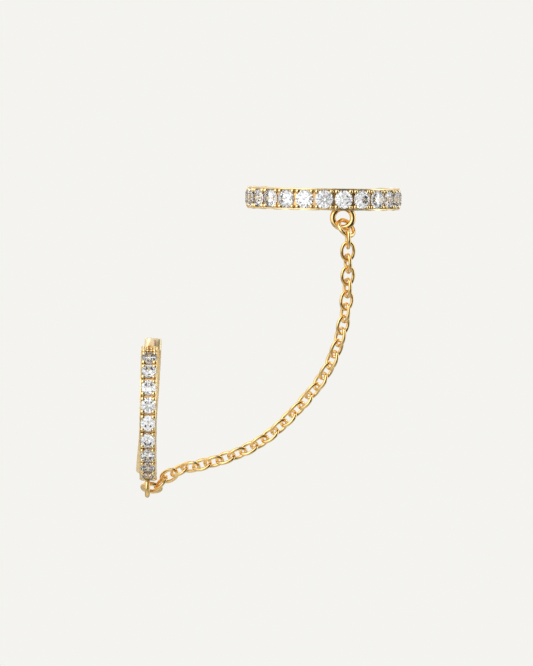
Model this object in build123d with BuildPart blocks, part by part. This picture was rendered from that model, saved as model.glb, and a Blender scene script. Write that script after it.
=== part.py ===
"""Ear chain earring: a stone-set hinged hoop and a stone-set ear cuff, joined by a fine cable chain.

Millimetres, +Z up, the front of both rings towards -Y. The origin is the middle of the hoop's post,
which passes through the ear lobe. Angles round a ring are in degrees from its front: on the hoop
they grow downwards, on the cuff they grow to the right.
"""

import os
from math import atan2, cos, degrees, radians, sin

from build123d import *

# hoop: radii to the stones' tables, to the metal's outside and to its inside
hoop_table_radius = 5.84
hoop_outer_radius = 5.70
hoop_inner_radius = 4.70
hoop_width = 1.36
hoop_stone_diameter = 1.30
hoop_stone_count = 9
hoop_stone_pitch = 14.7
hoop_first_stone = -51.0
hoop_top_margin = 15.5
hoop_bottom_margin = 10.0
hoop_end_wall = 2.2
hoop_loop_angle = 83.0
hoop_loop_reach = 6.106
hoop_loop_shift = -0.07
hoop_loop_radius = 0.77
hoop_loop_wire = 0.40

# post: a round bar over the hoop's top and a thin straight tip that snaps into the arm
post_radius = 5.50
post_diameter = 0.70
post_end_angle = -96.0
post_tip_diameter = 0.34
post_tip_length = 1.50
post_tip_fall = 6.0
post_tip_chamfer = 0.08
post_root = 1.5
post_hole_diameter = 0.52
post_hole_room = 0.20

# rear arm, twisted a little against the hoop's plane
arm_outer_radius = 5.84
arm_inner_radius = 4.90
arm_width = 1.36
arm_bottom_angle = 113.0
arm_top_angle = 262.0
arm_twist = 3.2
arm_shift = -0.12
arm_edge_fillet = 0.14
arm_end_chamfer = 0.40
arm_end_fillet = 0.28

# hinge: two ears on the gallery, a tongue on the arm and a pin
hinge_angle = 98.0
knuckle_radius = 0.54
knuckle_inset = 0.02
hinge_width = 1.00
ear_slot_width = 0.46
ear_slot_clearance = 0.06
tongue_width = 0.38
tongue_reach = 20.0
pin_diameter = 0.46
pin_clearance = 0.03
press_clearance = 0.01
ear_overlap = 1.0

# cuff, open at the back, where its plain ends taper
cuff_centre = Vector(13.74, 0, 11.78)
cuff_table_radius = 6.28
cuff_outer_radius = 6.12
cuff_inner_radius = 5.10
cuff_width = 1.72
cuff_stone_diameter = 1.47
cuff_stone_count = 15
cuff_stone_pitch = 15.0
cuff_first_stone = -105.0
cuff_end_margin = 11.5
cuff_end_span = 33.5
cuff_end_radius = 6.00
cuff_end_fillet = 0.35
cuff_taper_start = 2.30
cuff_taper = 7.0
cuff_loop_centre = Vector(15.26, -5.40, 10.32)
cuff_loop_radius = 0.795
cuff_loop_wire = 0.48

# setting: a floor at the stones' girdles, a rail along each edge and beads between the stones
rail_width = 0.11
floor_below_girdle = 0.05
seat_clearance = 0.015
seat_slope = 0.90
seat_hole_share = 0.42
seat_depth = 1.2
bead_radius = 0.165
bead_inset = 0.145
bead_half_spacing = 0.20

# round brilliant cut, as shares of the stone's diameter, with its facets' tilts in degrees
table_share = 0.57
crown_share = 0.15
girdle_share = 0.03
girdle_sides = 16
main_facets = 8
star_tilt = 22.0
upper_girdle_tilt = 42.0
pavilion_tilt = 40.75
lower_girdle_tilt = 42.3

# jump rings
jump_ring_radius = 0.74
jump_ring_wire = 0.34
cuff_jump_ring_centre = Vector(15.530, -5.556, 9.529)
cuff_jump_ring_axis = Vector(0.605, -0.555, 0.571)
hoop_jump_ring_centre = Vector(0.241, 0.018, -11.767)
hoop_jump_ring_axis = Vector(0.063, 0.462, 0.885)

# chain: oval links of round wire, each turned a quarter against the one before
link_length = 1.72
link_width = 1.27
link_wire = 0.28
link_end_radius = 0.41
link_count = 29
link_pitch = 1.0080
chain_start = Vector(15.684, -5.945, 8.674)
# columns: link number, heading from straight down towards -X, rise towards +Y, turn of the link's plane
chain_rows = [
    (0, 0.0, 11.2, 79.6),
    (2, -1.7, 15.2, 68.0),
    (5, 3.7, 6.7, 60.0),
    (9, 17.8, 13.5, 47.0),
    (13, 37.7, 13.7, 45.0),
    (17, 45.9, 5.9, 45.0),
    (21, 67.2, 1.2, 45.0),
    (25, 77.8, 20.9, 46.3),
    (27, 53.6, 22.1, 64.4),
    (28, 40.3, 16.2, 73.3),
]

hoop_centre = Vector(0, 0, -post_radius)
hoop_plane = Plane(origin=hoop_centre, x_dir=(0, -1, 0), z_dir=(1, 0, 0))
arm_plane = hoop_plane.rotated((0, arm_twist, 0)).offset(arm_shift)
cuff_plane = Plane(origin=cuff_centre, x_dir=(0, -1, 0), z_dir=(0, 0, 1))

# a part of a ring keeps its place round the ring's axis
about_axis = (Align.NONE, Align.NONE, Align.CENTER)

os.makedirs("parts", exist_ok=True)


def finish(builder, name):
    """Label a finished piece and write its file."""
    builder.part.label = name
    export_step(builder.part, f"parts/{name}.step")


# Cut stones


def facet_rows(diameter):
    """Facets as count, first azimuth, tilt, distance from the axis and height, up for the crown."""
    radius = diameter / 2
    table_radius = table_share * radius
    half_girdle = girdle_share * diameter / 2
    crown_top = half_girdle + crown_share * diameter
    main_step = 360 / main_facets
    bezel_tilt = degrees(atan2(crown_share * diameter, radius - table_radius))
    star_distance = table_radius * cos(radians(main_step / 2))
    girdle_distance = radius * cos(radians(180 / girdle_sides))
    return [
        (main_facets, 0, bezel_tilt, radius, half_girdle),
        (main_facets, main_step / 2, star_tilt, star_distance, crown_top),
        (girdle_sides, main_step / 4, upper_girdle_tilt, girdle_distance, half_girdle),
        (main_facets, 0, 180 - pavilion_tilt, radius, -half_girdle),
        (girdle_sides, main_step / 4, 180 - lower_girdle_tilt, girdle_distance, -half_girdle),
    ]


def brilliant(diameter):
    """Round brilliant with its table towards +X and its girdle's middle at the origin."""
    crown_top = (girdle_share / 2 + crown_share) * diameter
    with BuildPart() as stone:
        with BuildSketch(Plane.YZ.offset(-diameter / 2)):
            RegularPolygon(diameter / 2, girdle_sides)
        extrude(amount=diameter / 2 + crown_top)
        for count, first, tilt, distance, height in facet_rows(diameter):
            for number in range(count):
                azimuth = radians(first + number * 360 / count)
                outward = Vector(0, cos(azimuth), sin(azimuth))
                normal = outward * sin(radians(tilt)) + Vector(cos(radians(tilt)), 0, 0)
                point = outward * distance + Vector(height, 0, 0)
                split(bisect_by=Plane(origin=point, z_dir=normal), keep=Keep.BOTTOM)
    return stone.part


def girdle_radius(table_radius, diameter):
    """Distance of the stones' girdles from the ring's axis."""
    return table_radius - (crown_share + girdle_share / 2) * diameter


def make_stones(name, plane, cut_stone, radius, first, pitch, count):
    """Set one stone after the other round a ring, each a piece of its own."""
    for number in range(count):
        with BuildPart(plane) as stone:
            with PolarLocations(radius, 1, first + number * pitch):
                add(cut_stone)
        finish(stone, f"{name}_{number + 1:02d}")


# Stone-set bands, each in its ring's own frame


def sector(inner, outer, width, first, last):
    """Part of a plain ring between two angles."""
    with BuildPart() as piece:
        Cylinder(outer, width, arc_size=last - first, rotation=(0, 0, first), align=about_axis)
        Cylinder(inner, width, mode=Mode.SUBTRACT)
    return piece.part


def plain_band(radii, width, first, last):
    """Floor of a stone-set band with a rail along each edge, from inner, floor and outer radius."""
    inner, floor, outer = radii
    rail_place = (width - rail_width) / 2
    with BuildPart() as band:
        add(sector(inner, floor, width, first, last))
        with Locations((0, 0, rail_place), (0, 0, -rail_place)):
            add(sector(inner, outer, rail_width, first, last))
    return band.part


def plain_end(inner, outer, width, first, last):
    """Plain free end of the cuff, tapered towards the back, with rounded corners."""
    with BuildPart() as end:
        add(sector(inner, outer, width, first, last))
        for side in (1, -1):
            edge = (-cuff_taper_start, 0, side * width / 2)
            slope = (-sin(radians(cuff_taper)), 0, side * cos(radians(cuff_taper)))
            split(bisect_by=Plane(origin=edge, z_dir=slope), keep=Keep.BOTTOM)
        free_end = end.faces().filter_by(GeomType.PLANE).sort_by(Axis.X)[0]
        fillet(free_end.edges().sort_by(SortBy.LENGTH)[:2], cuff_end_fillet)
    return end.part


def band_beads(radius, width, first_stone, pitch, count):
    """Four small beads in every gap between stones and beyond the two end stones."""
    spread = bead_half_spacing / radius / radians(1)
    height = width / 2 - rail_width - bead_inset
    with BuildPart() as beads:
        with Locations((0, 0, height), (0, 0, -height)):
            for side in (-spread, spread):
                start = first_stone - pitch / 2 + side
                with PolarLocations(radius, count + 1, start, pitch * count, endpoint=True):
                    Sphere(bead_radius, rotation=(0, 90, 0))
    return beads.part


def stone_seat(diameter, depth):
    """Cutter for one stone: a straight mouth over the girdle, a cone and a hole to the inside."""
    mouth_radius = diameter / 2 + seat_clearance
    hole_radius = mouth_radius * seat_hole_share
    girdle_bottom = -girdle_share * diameter / 2 - seat_clearance
    cone_bottom = girdle_bottom - (mouth_radius - hole_radius) * seat_slope
    with BuildPart() as seat:
        with BuildSketch(Plane.XY):
            with BuildLine():
                Polyline(
                    (-depth, 0),
                    (-depth, hole_radius),
                    (cone_bottom, hole_radius),
                    (girdle_bottom, mouth_radius),
                    (depth, mouth_radius),
                    (depth, 0),
                    close=True,
                )
            make_face()
        revolve(axis=Axis.X)
    return seat.part


# Front half of the hoop: gallery, post, hinge ears and loop

hoop_girdle = girdle_radius(hoop_table_radius, hoop_stone_diameter)
hoop_radii = (hoop_inner_radius, hoop_girdle - floor_below_girdle, hoop_outer_radius)
hoop_stone_span = hoop_stone_pitch * (hoop_stone_count - 1)
hoop_top_end = hoop_first_stone - hoop_top_margin
hoop_bottom_end = hoop_first_stone + hoop_stone_span + hoop_bottom_margin
hinge_reach = hoop_outer_radius - knuckle_radius - knuckle_inset
ear_root = hoop_bottom_end - ear_overlap
ear_width = (hinge_width - ear_slot_width) / 2
ear_place = (ear_slot_width + ear_width) / 2
tip_direction = Vector(0, cos(radians(post_tip_fall)), -sin(radians(post_tip_fall)))
tip_plane = Plane(origin=(0, 0, 0), z_dir=tip_direction)

# two ears at the hoop's bottom, in the ring's own frame
with BuildPart() as ears:
    add(sector(hoop_inner_radius, hoop_outer_radius, hinge_width, ear_root, hinge_angle))
    with PolarLocations(hinge_reach, 1, hinge_angle):
        Cylinder(knuckle_radius + ear_slot_clearance, ear_slot_width, mode=Mode.SUBTRACT)
        with Locations((0, 0, ear_place), (0, 0, -ear_place)):
            Cylinder(knuckle_radius, ear_width)
        Cylinder(pin_diameter / 2 + press_clearance, hinge_width, mode=Mode.SUBTRACT)

with BuildPart(hoop_plane) as hoop_gallery:
    add(plain_band(hoop_radii, hoop_width, hoop_top_end, hoop_bottom_end))
    for wall in (hoop_top_end, hoop_bottom_end - hoop_end_wall):
        add(sector(hoop_inner_radius, hoop_outer_radius, hoop_width, wall, wall + hoop_end_wall))
    add(ears.part)
    add(band_beads(hoop_girdle, hoop_width, hoop_first_stone, hoop_stone_pitch, hoop_stone_count))
    with PolarLocations(hoop_girdle, hoop_stone_count, hoop_first_stone, hoop_stone_span, endpoint=True):
        add(stone_seat(hoop_stone_diameter, seat_depth), mode=Mode.SUBTRACT)
    with Locations((0, 0, hoop_loop_shift)):
        with PolarLocations(hoop_loop_reach, 1, hoop_loop_angle):
            Torus(hoop_loop_radius, hoop_loop_wire / 2)
    post_span = hoop_top_end + post_root - post_end_angle
    post_start = (0, 0, post_end_angle)
    Torus(post_radius, post_diameter / 2, major_angle=post_span, rotation=post_start, align=about_axis)
    with BuildSketch(tip_plane):
        Circle(post_tip_diameter / 2)
    extrude(amount=post_tip_length)
    chamfer(hoop_gallery.faces().sort_by(Axis.Y)[-1].edges(), post_tip_chamfer)
finish(hoop_gallery, "hoop_gallery")

hoop_stone = brilliant(hoop_stone_diameter)
make_stones(
    "hoop_stone", hoop_plane, hoop_stone, hoop_girdle, hoop_first_stone, hoop_stone_pitch, hoop_stone_count
)

# Rear arm of the hoop

with BuildPart(arm_plane) as hoop_arm:
    add(sector(arm_inner_radius, arm_outer_radius, arm_width, arm_bottom_angle, arm_top_angle))
    bottom_end = hoop_arm.faces().sort_by(Axis.Z)[0]
    chamfer(bottom_end.edges().sort_by(SortBy.LENGTH)[:2], arm_end_chamfer)
    top_end = hoop_arm.faces().sort_by(Axis.Z)[-1]
    fillet(top_end.edges().sort_by(SortBy.LENGTH)[:2], arm_end_fillet)
    outer_edges = hoop_arm.edges().filter_by(GeomType.CIRCLE).group_by(SortBy.RADIUS)[-1]
    fillet(outer_edges, arm_edge_fillet)
    with BuildSketch(hoop_plane.offset(-tongue_width / 2)):
        with BuildLine():
            tongue_outside = CenterArc((0, 0), hoop_outer_radius, hinge_angle, tongue_reach)
            tongue_inside = CenterArc((0, 0), arm_inner_radius, hinge_angle, tongue_reach)
            Line(tongue_outside @ 0, tongue_inside @ 0)
            Line(tongue_outside @ 1, tongue_inside @ 1)
        make_face()
        with PolarLocations(hinge_reach, 1, hinge_angle):
            Circle(knuckle_radius)
    extrude(amount=tongue_width)
    with BuildSketch(hoop_plane.offset(-tongue_width)):
        with PolarLocations(hinge_reach, 1, hinge_angle):
            Circle(pin_diameter / 2 + pin_clearance)
    extrude(amount=2 * tongue_width, mode=Mode.SUBTRACT)
    with BuildSketch(tip_plane):
        Circle(post_hole_diameter / 2)
    extrude(amount=post_tip_length + post_hole_room, mode=Mode.SUBTRACT)
finish(hoop_arm, "hoop_arm")

with BuildPart(hoop_plane) as hinge_pin:
    with PolarLocations(hinge_reach, 1, hinge_angle):
        Cylinder(pin_diameter / 2, hinge_width)
finish(hinge_pin, "hinge_pin")

# Ear cuff: band, loop and stones

cuff_girdle = girdle_radius(cuff_table_radius, cuff_stone_diameter)
cuff_radii = (cuff_inner_radius, cuff_girdle - floor_below_girdle, cuff_outer_radius)
cuff_stone_span = cuff_stone_pitch * (cuff_stone_count - 1)
cuff_first_end = cuff_first_stone - cuff_end_margin
cuff_last_end = cuff_first_stone + cuff_stone_span + cuff_end_margin

with BuildPart(cuff_plane) as cuff_band:
    add(plain_band(cuff_radii, cuff_width, cuff_first_end, cuff_last_end))
    for first in (cuff_first_end - cuff_end_span, cuff_last_end):
        add(plain_end(cuff_inner_radius, cuff_end_radius, cuff_width, first, first + cuff_end_span))
    add(band_beads(cuff_girdle, cuff_width, cuff_first_stone, cuff_stone_pitch, cuff_stone_count))
    with Locations(cuff_plane.to_local_coords(cuff_loop_centre)):
        Torus(cuff_loop_radius, cuff_loop_wire / 2, rotation=(0, 90, 0))
    with PolarLocations(cuff_girdle, cuff_stone_count, cuff_first_stone, cuff_stone_span, endpoint=True):
        add(stone_seat(cuff_stone_diameter, seat_depth), mode=Mode.SUBTRACT)
finish(cuff_band, "cuff_band")

cuff_stone = brilliant(cuff_stone_diameter)
make_stones(
    "cuff_stone", cuff_plane, cuff_stone, cuff_girdle, cuff_first_stone, cuff_stone_pitch, cuff_stone_count
)

# Jump rings

jump_rings = {
    "cuff_jump_ring": Plane(origin=cuff_jump_ring_centre, z_dir=cuff_jump_ring_axis),
    "hoop_jump_ring": Plane(origin=hoop_jump_ring_centre, z_dir=hoop_jump_ring_axis),
}
for name, plane in jump_rings.items():
    with BuildPart(plane) as jump_ring:
        Torus(jump_ring_radius, jump_ring_wire / 2)
    finish(jump_ring, name)

# Cable chain

link_half_length = (link_length - link_wire) / 2
link_half_width = (link_width - link_wire) / 2
link_end_place = link_half_length - link_end_radius
link_side_radius = (
    (link_half_length**2 + link_half_width**2 - 2 * link_half_length * link_end_radius)
    / 2
    / (link_half_width - link_end_radius)
)
link_side_place = link_side_radius - link_half_width
link_joint = degrees(atan2(link_side_place, link_end_place))

# each link is an oval of four arcs
with BuildPart() as link:
    for side in (0, 180):
        end_turn = (0, 0, side - link_joint)
        side_turn = (0, 0, side + link_joint)
        with PolarLocations(link_end_place, 1, side, rotate=False):
            Torus(
                link_end_radius,
                link_wire / 2,
                major_angle=2 * link_joint,
                rotation=end_turn,
                align=about_axis,
            )
        with PolarLocations(link_side_place, 1, side - 90, rotate=False):
            Torus(
                link_side_radius,
                link_wire / 2,
                major_angle=180 - 2 * link_joint,
                rotation=side_turn,
                align=about_axis,
            )


def row_at(place):
    """Heading, rise and turn at a place along the chain, straight between the rows."""
    for before, after in zip(chain_rows, chain_rows[1:]):
        if place <= after[0]:
            share = (place - before[0]) / (after[0] - before[0])
            return [low + share * (high - low) for low, high in zip(before[1:], after[1:])]


def direction(heading, rise):
    """Way along the chain."""
    level = cos(radians(rise))
    return Vector(-sin(radians(heading)) * level, sin(radians(rise)), -cos(radians(heading)) * level)


def link_planes():
    """Plane of every link with its long way first."""
    place = chain_start
    planes = []
    for number in range(link_count):
        heading, rise, turn = row_at(number)
        along = direction(heading, rise)
        across = along.cross(Vector(0, 1, 0)).normalized()
        through = across.cross(along)
        tilt = radians(turn + 90 * (number % 2))
        planes.append(Plane(origin=place, x_dir=along, z_dir=through * cos(tilt) + across * sin(tilt)))
        if number < link_count - 1:
            heading, rise, turn = row_at(number + 0.5)
            place = place + direction(heading, rise) * link_pitch
    return planes


with BuildPart() as chain:
    with Locations(*[plane.location for plane in link_planes()]):
        add(link.part)
finish(chain, "chain")
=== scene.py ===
from math import cos, pi, radians, sin

import bmesh
import bpy
from mathutils import Matrix, Vector


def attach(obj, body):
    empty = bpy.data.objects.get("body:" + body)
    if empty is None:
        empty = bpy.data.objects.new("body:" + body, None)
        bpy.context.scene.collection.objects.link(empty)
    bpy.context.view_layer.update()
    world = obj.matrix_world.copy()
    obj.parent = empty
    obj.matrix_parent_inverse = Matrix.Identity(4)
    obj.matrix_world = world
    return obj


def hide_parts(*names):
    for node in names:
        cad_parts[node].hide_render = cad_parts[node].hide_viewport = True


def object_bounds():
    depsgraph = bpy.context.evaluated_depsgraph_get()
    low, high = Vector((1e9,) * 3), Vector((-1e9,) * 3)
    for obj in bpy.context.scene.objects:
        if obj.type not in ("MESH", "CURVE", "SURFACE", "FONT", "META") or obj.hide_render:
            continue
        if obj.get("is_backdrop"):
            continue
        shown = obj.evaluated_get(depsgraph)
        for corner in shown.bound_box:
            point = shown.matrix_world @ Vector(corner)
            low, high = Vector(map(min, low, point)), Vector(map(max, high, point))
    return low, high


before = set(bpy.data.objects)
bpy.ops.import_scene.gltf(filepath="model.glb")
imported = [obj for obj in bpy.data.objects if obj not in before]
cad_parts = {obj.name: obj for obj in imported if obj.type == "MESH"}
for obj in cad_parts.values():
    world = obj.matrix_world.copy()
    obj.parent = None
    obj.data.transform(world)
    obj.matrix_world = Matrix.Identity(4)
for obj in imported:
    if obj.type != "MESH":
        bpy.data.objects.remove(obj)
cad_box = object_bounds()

# Camera
# A long lens in front of the earring and a little above it, rolled as the photograph is. It stands far
# enough away for the far and near sides of both rings to look the same size.
mm = 0.001
pixel_size = 0.08 * mm
frame_height_px = 666
camera_distance = 444 * mm
camera_target = Vector((9.326, -3.0, 0.972)) * mm
camera_elevation = radians(2.3)
camera_roll = radians(0.85)
sensor_width = 36
nearest_view = 10 * mm
furthest_view = 20

camera = bpy.data.objects.new("camera", bpy.data.cameras.new("camera"))
bpy.context.scene.collection.objects.link(camera)
camera.data.sensor_width = sensor_width
camera.data.lens = sensor_width * camera_distance / (frame_height_px * pixel_size)
camera.data.clip_start = nearest_view
camera.data.clip_end = furthest_view
camera_turn = Matrix.Rotation(pi / 2 - camera_elevation, 4, "X") @ Matrix.Rotation(camera_roll, 4, "Z")
camera_back = Vector((0, -cos(camera_elevation), sin(camera_elevation)))
camera.matrix_world = Matrix.Translation(camera_target + camera_back * camera_distance) @ camera_turn
bpy.context.scene.camera = camera

# Studio
# A plain pale sheet of paper well under the earring, soft boxes round it, and a white tent whose dark
# openings the metal and the stones mirror.
paper_colour = (0.905, 0.898, 0.865, 1)
floor_drop = 40 * mm
paper_roughness = 0.9
floor_sides = 96
floor_radius = 140 * mm
fade_from = 20 * mm
fade_to = 130 * mm
# soft boxes left and right of the camera, above it and behind: place in metres, width, height, brightness
soft_boxes = [
    ((-0.22, -0.32, 0.12), 0.08, 0.30, 1.6),
    ((0.36, 0.01, 0.06), 0.05, 0.26, 1.5),
    ((0.00, -0.26, 0.28), 0.32, 0.07, 1.6),
    ((-0.10, 0.30, 0.14), 0.16, 0.16, 1.0),
]
# the tent's brightness in degrees to the right of the camera, and by height from -1 to 1, first as the
# metal mirrors it and then as the stones refract it
metal_round = [(-180, 0.80), (-125, 0.65), (-112, 0.80), (-78, 0.88), (-70, 1.42), (-18, 1.42), (-8, 0.85),
               (3, 0.60), (11, 0.06), (70, 0.06), (80, 1.42), (116, 1.38), (126, 0.65), (180, 0.80)]
metal_up = [(-1.0, 0.60), (-0.86, 0.55), (-0.76, 0.16), (-0.48, 0.18), (-0.32, 0.82), (0.10, 1.00),
            (0.30, 1.05), (0.42, 1.25), (0.72, 1.25), (0.82, 0.75), (1.0, 0.75)]
stone_round = [(-180, 1.00), (-84, 1.05), (-80, 0.30), (-73, 0.30), (-69, 1.20), (-44, 1.15), (-40, 0.25),
               (-35, 0.25), (-31, 1.05), (20, 1.00), (24, 0.20), (29, 0.20), (33, 1.05), (58, 1.05),
               (62, 0.25), (69, 0.25), (73, 1.10), (180, 1.00)]
stone_up = [(-1.0, 1.00), (-0.60, 1.00), (-0.57, 0.35), (-0.50, 0.35), (-0.47, 1.10), (0.26, 1.05),
            (0.29, 0.35), (0.35, 0.35), (0.38, 1.05), (0.70, 1.05), (0.73, 0.45), (0.78, 0.45),
            (0.81, 1.0), (1.0, 1.0)]
bright_from = 1.35
bright_tint = (0.90, 1.0, 1.14)
lens_opening = radians(9)
lens_edge = 1.3
lens_shade = 0.45


def feed(tree, socket, value):
    """Link a socket to another one, or set its own value."""
    if isinstance(value, bpy.types.NodeSocket):
        tree.links.new(value, socket)
    else:
        socket.default_value = value


def add_node(tree, kind, sockets=None, **options):
    """Add a node with its options, and feed its sockets by name or number."""
    node = tree.nodes.new(kind)
    for option, value in options.items():
        setattr(node, option, value)
    for socket, value in (sockets or {}).items():
        feed(tree, node.inputs[socket], value)
    return node


def reckon(tree, operation, *values):
    """One step of arithmetic."""
    step = tree.nodes.new("ShaderNodeMath")
    step.operation = operation
    for socket, value in zip(step.inputs, values):
        feed(tree, socket, value)
    return step.outputs[0]


def tent_wall(tree, way, reach, steps):
    """Light of the tent along one way, from steps of place and brightness, cooler where it is bright."""
    share = add_node(tree, "ShaderNodeMapRange", {"Value": way, "From Min": -reach, "From Max": reach})
    wall = add_node(tree, "ShaderNodeValToRGB", {0: share.outputs[0]})
    stops = wall.color_ramp.elements
    for place, light in steps[1:-1]:
        stops.new((place / reach + 1) / 2)
    for stop, (place, light) in zip(stops, steps):
        tint = bright_tint if light > bright_from else (1, 1, 1)
        stop.color = (light * tint[0], light * tint[1], light * tint[2], 1)
    return wall.outputs[0]


floor_mesh = bpy.data.meshes.new("paper_floor")
shape = bmesh.new()
bmesh.ops.create_circle(shape, cap_ends=True, segments=floor_sides, radius=floor_radius)
bmesh.ops.translate(shape, verts=shape.verts, vec=(0, 0, cad_box[0].z - floor_drop))
shape.to_mesh(floor_mesh)
shape.free()
paper_floor = bpy.data.objects.new("paper_floor", floor_mesh)
bpy.context.scene.collection.objects.link(paper_floor)
paper = bpy.data.materials.new("pale_paper")
paper.use_nodes = True
sheet = paper.node_tree
surface = sheet.nodes["Principled BSDF"]
surface.inputs["Base Color"].default_value = paper_colour
surface.inputs["Roughness"].default_value = paper_roughness
spot = add_node(sheet, "ShaderNodeTexCoord").outputs["Object"]
reach = add_node(sheet, "ShaderNodeVectorMath", {0: spot}, operation="LENGTH").outputs["Value"]
fading = {"Value": reach, "From Min": fade_from, "From Max": fade_to}
edge_fade = add_node(sheet, "ShaderNodeMapRange", fading)
clear = add_node(sheet, "ShaderNodeBsdfTransparent")
shaders = {0: edge_fade.outputs[0], 1: surface.outputs[0], 2: clear.outputs[0]}
blend = add_node(sheet, "ShaderNodeMixShader", shaders)
feed(sheet, sheet.nodes["Material Output"].inputs["Surface"], blend.outputs[0])
floor_mesh.materials.append(paper)
paper_floor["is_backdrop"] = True

for number, (place, width, height, brightness) in enumerate(soft_boxes):
    box = bpy.data.lights.new(f"soft_box_{number}", "AREA")
    box.shape = "RECTANGLE"
    box.size = width
    box.size_y = height
    box.energy = brightness * pi * width * height
    lamp = bpy.data.objects.new(f"soft_box_{number}", box)
    lamp.location = Vector(place) + camera_target
    lamp.rotation_euler = (-Vector(place)).to_track_quat("-Z", "Y").to_euler()
    bpy.context.scene.collection.objects.link(lamp)

world = bpy.data.worlds.new("pale_studio")
world.use_nodes = True
bpy.context.scene.world = world
air = world.node_tree
air.nodes.clear()
direction = add_node(air, "ShaderNodeTexCoord").outputs["Generated"]
part = add_node(air, "ShaderNodeSeparateXYZ", {0: direction}).outputs
azimuth = reckon(air, "DEGREES", reckon(air, "ARCTAN2", part["X"], reckon(air, "MULTIPLY", part["Y"], -1)))
tents = []
for round_steps, up_steps in ((metal_round, metal_up), (stone_round, stone_up)):
    walls = {6: tent_wall(air, azimuth, 180, round_steps), 7: tent_wall(air, part["Z"], 1, up_steps)}
    tent = add_node(air, "ShaderNodeMix", {0: 1, **walls}, data_type="RGBA", blend_type="MULTIPLY")
    tents.append(tent.outputs[2])
ray = add_node(air, "ShaderNodeLightPath").outputs
by_ray = {0: ray["Is Transmission Ray"], 6: tents[0], 7: tents[1]}
tent = add_node(air, "ShaderNodeMix", by_ray, data_type="RGBA")
facing = {0: direction, 1: camera_back}
towards_lens = add_node(air, "ShaderNodeVectorMath", facing, operation="DOT_PRODUCT")
opening = {"Value": towards_lens.outputs["Value"], "To Min": 1, "To Max": lens_shade}
opening |= {"From Min": cos(lens_opening * lens_edge), "From Max": cos(lens_opening)}
shade = add_node(air, "ShaderNodeMapRange", opening)
mirrored = add_node(air, "ShaderNodeBackground", {"Color": tent.outputs[2], "Strength": shade.outputs[0]})
seen = add_node(air, "ShaderNodeBackground", {"Color": paper_colour})
views = {0: ray["Is Camera Ray"], 1: mirrored.outputs[0], 2: seen.outputs[0]}
choice = add_node(air, "ShaderNodeMixShader", views)
add_node(air, "ShaderNodeOutputWorld", {"Surface": choice.outputs[0]})
bpy.context.scene.view_settings.view_transform = "Standard"

# Ear cuff
# An open band cast in silver, plated in warm yellow gold and polished. Beads raised from its floor hold
# the stones between two thin rails, and the loop under its front is soldered on.
cuff_centre = Vector((13.74, 0, 11.78)) * mm
cuff_axis = Vector((0, 0, 1))
cuff_rim_radius = 6.12 * mm
cuff_floor_radius = 5.99 * mm
cuff_half_width = 0.86 * mm
cuff_stone_pitch = radians(15.0)
cuff_first_gap = radians(-112.5)
cuff_gaps = 16
cuff_first_end = radians(-116.5)
cuff_last_end = radians(116.5)
bead_radius = 0.20 * mm
bead_half_spacing = 0.215 * mm
bead_inset = 0.25 * mm
bead_rise = 0.04 * mm
rail_width = 0.15 * mm
rail_depth = 0.20 * mm
rail_edge = 0.06 * mm
rail_scallop = 0.016 * mm
rail_proud = 0.01 * mm
loop_start = 0.02 * mm
bead_sizes = (0.92, 1.05)
crease_angle = radians(50)
deep_gold = (0.90, 0.53, 0.13, 1)
light_gold = (1.0, 0.70, 0.27, 1)
pale_gold = (1.0, 0.76, 0.36, 1)
edge_gold = (1.0, 0.80, 0.48, 1)
# painted light: the orange recess tone stands for gold light bounced between the stones and the shade there,
# and the dark crease tone is painted shade where the beads meet the floor
painted_bounce_orange = (0.92, 0.50, 0.14, 1)
painted_crease_shade = (0.40, 0.20, 0.05, 1)
recess_roughness = 0.38
loop_gold = (0.96, 0.60, 0.17, 1)
loop_roughness = 0.05
coat_index = 1.8
coat_roughness = 0.03
cloud_scale = 700
marks_scale = 5000
marks_roughness = 0.04
marks_depth = 0.004 * mm
seat_depth = 0.3 * mm


def open_group(name, kind, inputs, outputs):
    """Begin a node group with named inputs and outputs."""
    group = bpy.data.node_groups.new(name, kind)
    for label, sort, value in inputs:
        socket = group.interface.new_socket(label, in_out="INPUT", socket_type="NodeSocket" + sort)
        if value is not None:
            socket.default_value = value
    for label, sort in outputs:
        group.interface.new_socket(label, in_out="OUTPUT", socket_type="NodeSocket" + sort)
    return group, group.nodes.new("NodeGroupInput").outputs, group.nodes.new("NodeGroupOutput").inputs


def handled_polish():
    """Polished plate: soft changes of tone, a roughness and fine polishing marks."""
    inputs = [("Deep Tone", "Color", None), ("Light Tone", "Color", None), ("Gloss", "Float", 0.1)]
    outputs = [("Colour", "Color"), ("Roughness", "Float"), ("Marks", "Float")]
    group, enter, leave = open_group("handled_polish", "ShaderNodeTree", inputs, outputs)
    spot = add_node(group, "ShaderNodeTexCoord").outputs["Object"]
    cloud = add_node(group, "ShaderNodeTexNoise", {"Vector": spot, "Scale": cloud_scale, "Detail": 3})
    marks = add_node(group, "ShaderNodeTexNoise", {"Vector": spot, "Scale": marks_scale, "Detail": 2})
    tones = {0: cloud.outputs["Fac"], 6: enter["Deep Tone"], 7: enter["Light Tone"]}
    tone = add_node(group, "ShaderNodeMix", tones, data_type="RGBA")
    feed(group, leave["Colour"], tone.outputs[2])
    rough = reckon(group, "MULTIPLY_ADD", marks.outputs["Fac"], marks_roughness, enter["Gloss"])
    feed(group, leave["Roughness"], rough)
    feed(group, leave["Marks"], marks.outputs["Fac"])
    return group


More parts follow.
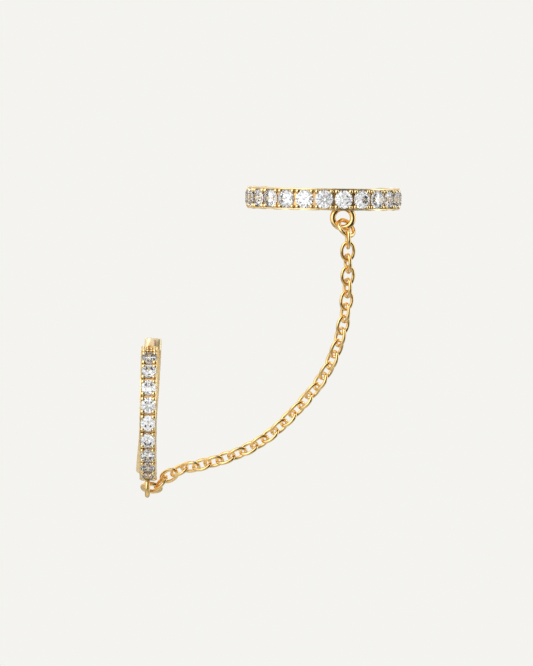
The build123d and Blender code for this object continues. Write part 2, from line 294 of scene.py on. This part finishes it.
def recess_mask():
    """Mask of the floor between the stones, by its depth under a ring's rim, where painted shade and a
    duller roughness go.
    """
    inputs = [("Centre", "Vector", None), ("Axis", "Vector", None), ("Rim Radius", "Float", 0.006)]
    inputs += [("Floor Radius", "Float", 0.006), ("Half Width", "Float", 0.001)]
    group, enter, leave = open_group("recess_mask", "ShaderNodeTree", inputs, [("Mask", "Float")])
    spot = add_node(group, "ShaderNodeTexCoord").outputs["Object"]
    offset = add_node(group, "ShaderNodeVectorMath", {0: spot, 1: enter["Centre"]}, operation="SUBTRACT")
    height = add_node(
        group, "ShaderNodeVectorMath", {0: offset.outputs[0], 1: enter["Axis"]}, operation="DOT_PRODUCT"
    )
    upright = add_node(group, "ShaderNodeVectorMath", {0: enter["Axis"]}, operation="SCALE")
    feed(group, upright.inputs["Scale"], height.outputs["Value"])
    level = add_node(
        group, "ShaderNodeVectorMath", {0: offset.outputs[0], 1: upright.outputs[0]}, operation="SUBTRACT"
    )
    radius = add_node(group, "ShaderNodeVectorMath", {0: level.outputs[0]}, operation="LENGTH")
    radius = radius.outputs["Value"]
    reach = {"Value": radius, "From Min": enter["Rim Radius"], "From Max": enter["Floor Radius"]}
    sunk = add_node(group, "ShaderNodeMapRange", reach).outputs[0]
    under = reckon(group, "SUBTRACT", enter["Floor Radius"], seat_depth)
    below = add_node(
        group, "ShaderNodeMapRange", {"Value": radius, "From Min": under, "From Max": enter["Floor Radius"]}
    ).outputs[0]
    off_middle = reckon(group, "ABSOLUTE", height.outputs["Value"])
    inside = reckon(group, "LESS_THAN", off_middle, enter["Half Width"])
    feed(group, leave["Mask"], reckon(group, "MULTIPLY", reckon(group, "MULTIPLY", sunk, below), inside))
    return group


polish_group = handled_polish()
recess_group = recess_mask()


def gold(name, deep, light, gloss, marks):
    """Warm yellow gold plate under a clear hard coat, with a gloss and a strength of polishing marks."""
    plate = bpy.data.materials.new(name)
    plate.use_nodes = True
    tree = plate.node_tree
    surface = tree.nodes["Principled BSDF"]
    surface.inputs["Metallic"].default_value = 1
    surface.inputs["Specular Tint"].default_value = edge_gold
    surface.inputs["Coat Weight"].default_value = 1
    surface.inputs["Coat IOR"].default_value = coat_index
    surface.inputs["Coat Roughness"].default_value = coat_roughness
    polish = tree.nodes.new("ShaderNodeGroup")
    polish.node_tree = polish_group
    polish.inputs["Deep Tone"].default_value = deep
    polish.inputs["Light Tone"].default_value = light
    polish.inputs["Gloss"].default_value = gloss
    bump = add_node(tree, "ShaderNodeBump", {"Strength": marks, "Distance": marks_depth})
    feed(tree, bump.inputs["Height"], polish.outputs["Marks"])
    feed(tree, surface.inputs["Base Color"], polish.outputs["Colour"])
    feed(tree, surface.inputs["Roughness"], polish.outputs["Roughness"])
    feed(tree, surface.inputs["Normal"], bump.outputs[0])
    return plate


def paint_recess_shade(plate, centre, axis, rim, floor_radius, half_width, painted_shade_colour):
    """Paint shade and bounced gold light into the plate's colour on the floor between the stones, and dull
    it there.
    """
    tree = plate.node_tree
    recess = tree.nodes.new("ShaderNodeGroup")
    recess.node_tree = recess_group
    recess.inputs["Centre"].default_value = centre
    recess.inputs["Axis"].default_value = axis
    recess.inputs["Rim Radius"].default_value = rim
    recess.inputs["Floor Radius"].default_value = floor_radius
    recess.inputs["Half Width"].default_value = half_width
    surface = tree.nodes["Principled BSDF"]
    polish = surface.inputs["Base Color"].links[0].from_socket
    tones = {0: recess.outputs["Mask"], 6: polish, 7: painted_shade_colour}
    tone = add_node(tree, "ShaderNodeMix", tones, data_type="RGBA")
    feed(tree, surface.inputs["Base Color"], tone.outputs[2])
    polish = surface.inputs["Roughness"].links[0].from_socket
    sheen = add_node(tree, "ShaderNodeMix", {0: recess.outputs["Mask"], 2: polish, 3: recess_roughness})
    feed(tree, surface.inputs["Roughness"], sheen.outputs[0])


def polish_loop(plate, level):
    """Polish the soldered loop under a level brighter than the satin band."""
    tree = plate.node_tree
    surface = tree.nodes["Principled BSDF"]
    spot = add_node(tree, "ShaderNodeTexCoord").outputs["Object"]
    height = add_node(tree, "ShaderNodeSeparateXYZ", {0: spot}).outputs["Z"]
    band = reckon(tree, "GREATER_THAN", height, level)
    satin = surface.inputs["Roughness"].links[0].from_socket
    sheen = add_node(tree, "ShaderNodeMix", {0: band, 2: loop_roughness, 3: satin})
    feed(tree, surface.inputs["Roughness"], sheen.outputs[0])
    plain = surface.inputs["Base Color"].links[0].from_socket
    tone = add_node(tree, "ShaderNodeMix", {0: band, 6: loop_gold, 7: plain}, data_type="RGBA")
    feed(tree, surface.inputs["Base Color"], tone.outputs[2])


def dress(name, finish):
    """Give a CAD node its finish."""
    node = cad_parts[name]
    node.data.materials.clear()
    node.data.materials.append(finish)


def bead_rows():
    """Tree for four raised beads in every gap between stones, each a little different."""
    inputs = [("Geometry", "Geometry", None), ("Ring Radius", "Float", 0.006), ("First Gap", "Float", 0.0)]
    inputs += [("Pitch", "Float", 0.26), ("Gaps", "Int", 10), ("Half Spacing", "Float", 0.0002)]
    inputs += [("Row Height", "Float", 0.0006), ("Bead Radius", "Float", 0.0002)]
    inputs += [("Finish", "Material", None)]
    tree, enter, leave = open_group("bead_rows", "GeometryNodeTree", inputs, [("Geometry", "Geometry")])
    number = add_node(tree, "GeometryNodeInputIndex").outputs[0]
    gap = reckon(tree, "FLOOR", reckon(tree, "DIVIDE", number, 4))
    side = reckon(tree, "MULTIPLY_ADD", reckon(tree, "MODULO", number, 2), 2, -1)
    half = reckon(tree, "FLOOR", reckon(tree, "DIVIDE", number, 2))
    row = reckon(tree, "MULTIPLY_ADD", reckon(tree, "MODULO", half, 2), 2, -1)
    spread = reckon(tree, "DIVIDE", enter["Half Spacing"], enter["Ring Radius"])
    middle = reckon(tree, "MULTIPLY_ADD", gap, enter["Pitch"], enter["First Gap"])
    angle = reckon(tree, "MULTIPLY_ADD", side, spread, middle)
    spot = add_node(
        tree,
        "ShaderNodeCombineXYZ",
        {
            "X": reckon(tree, "MULTIPLY", reckon(tree, "COSINE", angle), enter["Ring Radius"]),
            "Y": reckon(tree, "MULTIPLY", reckon(tree, "SINE", angle), enter["Ring Radius"]),
            "Z": reckon(tree, "MULTIPLY", row, enter["Row Height"]),
        },
    )
    count = reckon(tree, "MULTIPLY", enter["Gaps"], 4)
    spots = add_node(tree, "GeometryNodePoints", {"Count": count, "Position": spot.outputs[0]})
    bead = add_node(tree, "GeometryNodeMeshIcoSphere", {"Radius": enter["Bead Radius"], "Subdivisions": 3})
    smooth = add_node(tree, "GeometryNodeSetShadeSmooth", {"Geometry": bead.outputs[0]})
    uneven = add_node(tree, "FunctionNodeRandomValue", {"Seed": 4}, data_type="FLOAT_VECTOR")
    uneven.inputs["Min"].default_value = (bead_sizes[0],) * 3
    uneven.inputs["Max"].default_value = (bead_sizes[1],) * 3
    grid = {"Points": spots.outputs[0], "Instance": smooth.outputs[0], "Scale": uneven.outputs[0]}
    beads = add_node(tree, "GeometryNodeInstanceOnPoints", grid)
    close_tree(tree, beads.outputs[0], enter, leave)
    return tree


def close_tree(tree, made, enter, leave):
    """End a tree with plain geometry that has its finish."""
    real = add_node(tree, "GeometryNodeRealizeInstances", {"Geometry": made})
    finish = {"Geometry": real.outputs[0], "Material": enter["Finish"]}
    feed(tree, leave["Geometry"], add_node(tree, "GeometryNodeSetMaterial", finish).outputs[0])


def rail_pair():
    """Tree for the two thin rounded rails, a little higher between the stones."""
    inputs = [("Geometry", "Geometry", None), ("Ring Radius", "Float", 0.006), ("First End", "Float", 0.0)]
    inputs += [("Last End", "Float", 1.0), ("First Gap", "Float", 0.0), ("Pitch", "Float", 0.26)]
    inputs += [("Rail Height", "Float", 0.0008), ("Rail Width", "Float", 0.0001)]
    inputs += [("Rail Depth", "Float", 0.0002), ("Edge", "Float", 0.00005), ("Scallop", "Float", 0.00001)]
    inputs += [("Finish", "Material", None)]
    tree, enter, leave = open_group("rail_pair", "GeometryNodeTree", inputs, [("Geometry", "Geometry")])
    sweep = reckon(tree, "SUBTRACT", enter["Last End"], enter["First End"])
    bend = {"Resolution": 260, "Radius": enter["Ring Radius"], "Start Angle": enter["First End"]}
    line = add_node(tree, "GeometryNodeCurveArc", {**bend, "Sweep Angle": sweep}).outputs[0]
    place = add_node(tree, "GeometryNodeInputPosition").outputs[0]
    spot = add_node(tree, "ShaderNodeSeparateXYZ", {0: place})
    angle = reckon(tree, "ARCTAN2", spot.outputs["Y"], spot.outputs["X"])
    turns = reckon(tree, "DIVIDE", reckon(tree, "SUBTRACT", angle, enter["First Gap"]), enter["Pitch"])
    wave = reckon(tree, "COSINE", reckon(tree, "MULTIPLY", turns, 2 * pi))
    rise = reckon(tree, "MULTIPLY", wave, enter["Scallop"])
    block = {"Width": enter["Rail Depth"], "Height": enter["Rail Width"]}
    outline = add_node(tree, "GeometryNodeCurvePrimitiveQuadrilateral", block).outputs[0]
    corner = {"Curve": outline, "Radius": enter["Edge"], "Count": 4}
    section = add_node(tree, "GeometryNodeFilletCurve", corner, mode="POLY").outputs[0]
    both = add_node(tree, "GeometryNodeJoinGeometry")
    for side in (1, -1):
        height = reckon(tree, "MULTIPLY", reckon(tree, "ADD", enter["Rail Height"], rise), side)
        offset = add_node(
            tree,
            "ShaderNodeCombineXYZ",
            {
                "X": reckon(tree, "MULTIPLY", reckon(tree, "COSINE", angle), rise),
                "Y": reckon(tree, "MULTIPLY", reckon(tree, "SINE", angle), rise),
                "Z": height,
            },
        )
        path = add_node(tree, "GeometryNodeSetPosition", {"Geometry": line, "Offset": offset.outputs[0]})
        upright = add_node(tree, "GeometryNodeSetCurveNormal", {"Curve": path.outputs[0]}, mode="Z_UP")
        rail = {"Curve": upright.outputs[0], "Profile Curve": section, "Fill Caps": True}
        swept = add_node(tree, "GeometryNodeCurveToMesh", rail)
        tree.links.new(swept.outputs[0], both.inputs[0])
    smooth = add_node(tree, "GeometryNodeSetShadeSmooth", {"Geometry": both.outputs[0]})
    close_tree(tree, smooth.outputs[0], enter, leave)
    return tree


def make(name, tree, sizes, source=None):
    """Run a tree once and keep what it makes as a plain mesh."""
    maker = bpy.data.objects.new("maker", source or bpy.data.meshes.new("maker"))
    bpy.context.scene.collection.objects.link(maker)
    step = maker.modifiers.new("make", "NODES")
    step.node_group = tree
    for socket in tree.interface.items_tree:
        if socket.in_out == "INPUT" and socket.name in sizes:
            step[socket.identifier] = sizes[socket.name]
    view = bpy.context.evaluated_depsgraph_get()
    mesh = bpy.data.meshes.new_from_object(maker.evaluated_get(view))
    bpy.data.objects.remove(maker)
    mesh.set_sharp_from_angle(angle=crease_angle)
    piece = bpy.data.objects.new(name, mesh)
    bpy.context.scene.collection.objects.link(piece)
    return piece


def ring_place(centre, axis):
    """Place of a ring from its own frame, where +X is its front and +Z its axis."""
    front = Vector((0, -1, 0))
    turn = Matrix((front, axis.cross(front), axis)).transposed()
    return Matrix.Translation(centre) @ turn.to_4x4()


bead_tree = bead_rows()
rail_tree = rail_pair()
cuff_gold = gold("cuff_gold", light_gold, pale_gold, 0.38, 0.12)
cuff_bead_gold = gold("cuff_bead_gold", light_gold, pale_gold, 0.12, 0.06)
# painted shade and bounced gold light on the floor between the stones: orange on the band, dark on the feet
# of the beads
for plate, painted_shade_colour in ((cuff_gold, painted_bounce_orange), (cuff_bead_gold, painted_crease_shade)):
    ring = (cuff_centre, cuff_axis, cuff_rim_radius, cuff_floor_radius, cuff_half_width)
    paint_recess_shade(plate, *ring, painted_shade_colour)
polish_loop(cuff_gold, cuff_centre.z - cuff_half_width - loop_start)
dress("cuff_band", cuff_gold)

cuff_beads = make(
    "cuff_beads",
    bead_tree,
    {
        "Ring Radius": cuff_floor_radius + bead_rise,
        "First Gap": cuff_first_gap,
        "Pitch": cuff_stone_pitch,
        "Gaps": cuff_gaps,
        "Half Spacing": bead_half_spacing,
        "Row Height": cuff_half_width - bead_inset,
        "Bead Radius": bead_radius,
        "Finish": cuff_bead_gold,
    },
)
cuff_rails = make(
    "cuff_rails",
    rail_tree,
    {
        "Ring Radius": cuff_rim_radius - rail_depth / 2 + rail_proud,
        "First End": cuff_first_end,
        "Last End": cuff_last_end,
        "First Gap": cuff_first_gap,
        "Pitch": cuff_stone_pitch,
        "Rail Height": cuff_half_width - rail_width / 2 + rail_proud,
        "Rail Width": rail_width,
        "Rail Depth": rail_depth,
        "Edge": rail_edge,
        "Scallop": rail_scallop,
        "Finish": cuff_gold,
    },
)
for piece in (cuff_beads, cuff_rails):
    piece.data.transform(ring_place(cuff_centre, cuff_axis))
    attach(piece, "front")

# Stones
# Round brilliant-cut cubic zirconia, colourless and clear, each pressed into its own seat until the beads
# hold its girdle. Faint wiping marks cloud a facet here and there.
stone_index = 2.15
wipe_scale = 2500
wipe_from = 0.55
wipe_roughness = 0.03
tint_scale = 400
warm_body = (1.0, 0.995, 0.985, 1)
cool_body = (0.985, 0.995, 1.0, 1)

cut_stone = bpy.data.materials.new("cut_stone")
cut_stone.use_nodes = True
stone_tree = cut_stone.node_tree
stone_surface = stone_tree.nodes["Principled BSDF"]
stone_surface.inputs["IOR"].default_value = stone_index
stone_surface.inputs["Transmission Weight"].default_value = 1
stone_spot = add_node(stone_tree, "ShaderNodeTexCoord").outputs["Object"]
wiping = {"Vector": stone_spot, "Scale": wipe_scale, "Detail": 3}
wipe_marks = add_node(stone_tree, "ShaderNodeTexNoise", wiping).outputs["Fac"]
cloudy = {"Value": wipe_marks, "From Min": wipe_from, "To Max": wipe_roughness}
wiped = add_node(stone_tree, "ShaderNodeMapRange", cloudy)
feed(stone_tree, stone_surface.inputs["Roughness"], wiped.outputs[0])
body_tint = add_node(stone_tree, "ShaderNodeTexNoise", {"Vector": stone_spot, "Scale": tint_scale})
tints = {0: body_tint.outputs["Fac"], 6: warm_body, 7: cool_body}
body_colour = add_node(stone_tree, "ShaderNodeMix", tints, data_type="RGBA")
feed(stone_tree, stone_surface.inputs["Base Color"], body_colour.outputs[2])
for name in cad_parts:
    if "stone" in name:
        dress(name, cut_stone)

# Hoop
# The front half of the huggie hoop is cast, set and plated as the cuff is, with its post at the top, the
# two hinge ears below and a soldered loop between them.
hoop_centre = Vector((0, 0, -5.5)) * mm
hoop_axis = Vector((1, 0, 0))
hoop_rim_radius = 5.70 * mm
hoop_floor_radius = 5.575 * mm
hoop_half_width = 0.68 * mm
hoop_stone_pitch = radians(14.7)
hoop_first_gap = radians(-58.35)
hoop_gaps = 10
hoop_first_end = radians(-66.5)
hoop_last_end = radians(76.6)

hoop_gold = gold("hoop_gold", light_gold, pale_gold, 0.40, 0.12)
hoop_bead_gold = gold("hoop_bead_gold", light_gold, pale_gold, 0.12, 0.06)
# painted shade and bounced gold light on the floor between the stones: orange on the gallery, dark on the
# feet of the beads
for plate, painted_shade_colour in ((hoop_gold, painted_bounce_orange), (hoop_bead_gold, painted_crease_shade)):
    ring = (hoop_centre, hoop_axis, hoop_rim_radius, hoop_floor_radius, hoop_half_width)
    paint_recess_shade(plate, *ring, painted_shade_colour)
polish_loop(hoop_gold, hoop_centre.z - hoop_rim_radius)
dress("hoop_gallery", hoop_gold)
# first gap, gaps, half spacing, row height and bead radius: between the stones, then small beads and
# corner prongs under the post
hoop_bead_groups = {
    "hoop_beads": (hoop_first_gap, hoop_gaps, bead_half_spacing, hoop_half_width - bead_inset, bead_radius),
    "hoop_top_beads": (radians(-62.2), 1, 0.18 * mm, 0.15 * mm, 0.14 * mm),
    "hoop_corner_prongs": (radians(-63.0), 1, 0.10 * mm, 0.44 * mm, 0.20 * mm),
}
hoop_trim = []
for name, (first_gap, gaps, spacing, height, radius) in hoop_bead_groups.items():
    sizes = {"Ring Radius": hoop_floor_radius + bead_rise, "Pitch": hoop_stone_pitch}
    sizes |= {"First Gap": first_gap, "Gaps": gaps, "Half Spacing": spacing}
    sizes |= {"Row Height": height, "Bead Radius": radius, "Finish": hoop_bead_gold}
    hoop_trim.append(make(name, bead_tree, sizes))
hoop_rails = make(
    "hoop_rails",
    rail_tree,
    {
        "Ring Radius": hoop_rim_radius - rail_depth / 2 + rail_proud,
        "First End": hoop_first_end,
        "Last End": hoop_last_end,
        "First Gap": hoop_first_gap,
        "Pitch": hoop_stone_pitch,
        "Rail Height": hoop_half_width - rail_width / 2 + rail_proud,
        "Rail Width": rail_width,
        "Rail Depth": rail_depth,
        "Edge": rail_edge,
        "Scallop": rail_scallop,
        "Finish": hoop_gold,
    },
)
for piece in (*hoop_trim, hoop_rails):
    piece.data.transform(ring_place(hoop_centre, hoop_axis))
    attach(piece, "front")

# Rear arm and hinge pin
# The plain rear half of the hoop is cast in one piece with its hinge tongue, plated and left satin. It
# turns on a drawn wire pin, which is pressed through the two ears and the tongue.
arm_gold = gold("arm_gold", pale_gold, edge_gold, 0.50, 0.3)
dress("hoop_arm", arm_gold)
pin_gold = gold("pin_gold", deep_gold, light_gold, 0.10, 0.3)
dress("hinge_pin", pin_gold)

# Jump rings
# Rings of round gold-plated wire, cut once, opened to take the chain and pressed shut again.
jump_ring_radius = 0.74 * mm
jump_ring_wire = 0.34 * mm
jump_ring_seam = 0.012 * mm
jump_rings = {
    "cuff_jump_ring": (Vector((15.530, -5.556, 9.529)) * mm, Vector((0.605, -0.555, 0.571))),
    "hoop_jump_ring": (Vector((0.241, 0.018, -11.767)) * mm, Vector((0.063, 0.462, 0.885))),
}


def cut_ring():
    """Tree for a ring of wire whose cut ends meet."""
    inputs = [("Geometry", "Geometry", None), ("Ring Radius", "Float", 0.0007), ("Wire", "Float", 0.0003)]
    inputs += [("Seam", "Float", 0.00001), ("Finish", "Material", None)]
    tree, enter, leave = open_group("cut_ring", "GeometryNodeTree", inputs, [("Geometry", "Geometry")])
    seam = reckon(tree, "DIVIDE", enter["Seam"], enter["Ring Radius"])
    bend = {"Resolution": 72, "Radius": enter["Ring Radius"], "Start Angle": reckon(tree, "DIVIDE", seam, 2)}
    bend["Sweep Angle"] = reckon(tree, "SUBTRACT", 2 * pi, seam)
    line = add_node(tree, "GeometryNodeCurveArc", bend)
    wire = {"Resolution": 20, "Radius": reckon(tree, "DIVIDE", enter["Wire"], 2)}
    section = add_node(tree, "GeometryNodeCurvePrimitiveCircle", wire)
    upright = add_node(tree, "GeometryNodeSetCurveNormal", {"Curve": line.outputs[0]}, mode="Z_UP")
    ring = {"Curve": upright.outputs[0], "Profile Curve": section.outputs[0], "Fill Caps": True}
    swept = add_node(tree, "GeometryNodeCurveToMesh", ring)
    smooth = add_node(tree, "GeometryNodeSetShadeSmooth", {"Geometry": swept.outputs[0]})
    close_tree(tree, smooth.outputs[0], enter, leave)
    return tree


ring_tree = cut_ring()
wire_gold = gold("wire_gold", deep_gold, light_gold, 0.03, 0.06)
for name, (centre, axis) in jump_rings.items():
    sizes = {"Ring Radius": jump_ring_radius, "Wire": jump_ring_wire, "Seam": jump_ring_seam}
    ring = make(name + "_wire", ring_tree, {**sizes, "Finish": wire_gold})
    ring.data.transform(Matrix.Translation(centre) @ axis.to_track_quat("Z", "Y").to_matrix().to_4x4())
    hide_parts(name)
    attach(ring, "front")

# Chain
# A fine cable chain of oval links bent from round gold-plated wire. Each is soldered shut through the one
# before it and turned a quarter, and the chain hangs in the bow that the photograph shows.
link_half_length = 0.72 * mm
link_half_width = 0.495 * mm
link_wire = 0.28 * mm
link_fullness = 0.10
link_solder = 0.05
chain_deep_gold = (0.94, 0.55, 0.12, 1)
chain_light_gold = (1.0, 0.70, 0.25, 1)
link_count = 29
link_pitch = 1.0080 * mm
chain_start = Vector((15.684, -5.945, 8.674)) * mm
# columns: link number, heading from straight down towards -X, rise towards +Y, turn of the link's plane
chain_rows = [
    (0, 0.0, 11.2, 79.6),
    (2, -1.7, 15.2, 68.0),
    (5, 3.7, 6.7, 60.0),
    (9, 17.8, 13.5, 47.0),
    (13, 37.7, 13.7, 45.0),
    (17, 45.9, 5.9, 45.0),
    (21, 67.2, 1.2, 45.0),
    (25, 77.8, 20.9, 46.3),
    (27, 53.6, 22.1, 64.4),
    (28, 40.3, 16.2, 73.3),
]


def row_at(place):
    """Way along the chain and turn of the link at a place along it, straight between the rows."""
    for before, after in zip(chain_rows, chain_rows[1:]):
        if place <= after[0]:
            share = (place - before[0]) / (after[0] - before[0])
            ends = zip(before[1:], after[1:])
            heading, rise, turn = (radians(low + share * (high - low)) for low, high in ends)
            along = Vector((-sin(heading) * cos(rise), sin(rise), -cos(heading) * cos(rise)))
            return along, turn


def oval_links():
    """Tree for one oval link on every point, turned by the point's two directions."""
    inputs = [("Geometry", "Geometry", None), ("Half Length", "Float", 0.0007)]
    inputs += [("Half Width", "Float", 0.0005), ("Wire", "Float", 0.0003)]
    inputs += [("Fullness", "Float", 0.1), ("Solder", "Float", 0.05), ("Finish", "Material", None)]
    tree, enter, leave = open_group("oval_links", "GeometryNodeTree", inputs, [("Geometry", "Geometry")])
    loop = add_node(tree, "GeometryNodeCurvePrimitiveCircle", {"Resolution": 48, "Radius": 1.0})
    place = add_node(tree, "GeometryNodeInputPosition").outputs[0]
    spot = add_node(tree, "ShaderNodeSeparateXYZ", {0: place})
    end, side = spot.outputs["X"], spot.outputs["Y"]
    fuller = reckon(tree, "MULTIPLY_ADD", reckon(tree, "MULTIPLY", end, end), enter["Fullness"], 1)
    oval = add_node(
        tree,
        "ShaderNodeCombineXYZ",
        {
            "X": reckon(tree, "MULTIPLY", end, enter["Half Length"]),
            "Y": reckon(tree, "MULTIPLY", reckon(tree, "MULTIPLY", side, fuller), enter["Half Width"]),
        },
    )
    near_joint = reckon(tree, "POWER", reckon(tree, "MAXIMUM", side, 0), 40)
    swell = reckon(tree, "MULTIPLY_ADD", near_joint, enter["Solder"], 1)
    thick = add_node(tree, "GeometryNodeSetCurveRadius", {"Curve": loop.outputs[0], "Radius": swell})
    bent = add_node(
        tree, "GeometryNodeSetPosition", {"Geometry": thick.outputs[0], "Position": oval.outputs[0]}
    )
    upright = add_node(tree, "GeometryNodeSetCurveNormal", {"Curve": bent.outputs[0]}, mode="Z_UP")
    wire = {"Resolution": 16, "Radius": reckon(tree, "DIVIDE", enter["Wire"], 2)}
    section = add_node(tree, "GeometryNodeCurvePrimitiveCircle", wire)
    swept = add_node(
        tree, "GeometryNodeCurveToMesh", {"Curve": upright.outputs[0], "Profile Curve": section.outputs[0]}
    )
    link = add_node(tree, "GeometryNodeSetShadeSmooth", {"Geometry": swept.outputs[0]})
    ways = {}
    for label in ("along", "through"):
        way = add_node(tree, "GeometryNodeInputNamedAttribute", {"Name": label}, data_type="FLOAT_VECTOR")
        ways[label] = way.outputs[0]
    lengthwise = add_node(tree, "FunctionNodeAlignRotationToVector", {"Vector": ways["along"]}, axis="X")
    rolled = {"Rotation": lengthwise.outputs[0], "Vector": ways["through"]}
    turned = add_node(tree, "FunctionNodeAlignRotationToVector", rolled, axis="Z", pivot_axis="X")
    row = {"Points": enter["Geometry"], "Instance": link.outputs[0], "Rotation": turned.outputs[0]}
    links = add_node(tree, "GeometryNodeInstanceOnPoints", row)
    close_tree(tree, links.outputs[0], enter, leave)
    return tree


places, alongs, throughs = [chain_start], [], []
for number in range(link_count):
    along, turn = row_at(number)
    across = along.cross(Vector((0, 1, 0))).normalized()
    turn += radians(90) * (number % 2)
    alongs.append(along)
    throughs.append(across.cross(along) * cos(turn) + across * sin(turn))
    if number < link_count - 1:
        places.append(places[-1] + row_at(number + 0.5)[0] * link_pitch)
chain_line = bpy.data.meshes.new("chain_line")
chain_line.from_pydata(places, [], [])
for label, ways in (("along", alongs), ("through", throughs)):
    layer = chain_line.attributes.new(label, "FLOAT_VECTOR", "POINT")
    for number, way in enumerate(ways):
        layer.data[number].vector = way
chain_gold = gold("chain_gold", chain_deep_gold, chain_light_gold, 0.03, 0.06)
cable_chain = make(
    "cable_chain",
    oval_links(),
    {
        "Half Length": link_half_length,
        "Half Width": link_half_width,
        "Wire": link_wire,
        "Fullness": link_fullness,
        "Solder": link_solder,
        "Finish": chain_gold,
    },
    chain_line,
)
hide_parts("chain")
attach(cable_chain, "front")

made_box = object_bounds()
sizes = {"cad": [list(corner) for corner in cad_box], "made": [list(corner) for corner in made_box]}
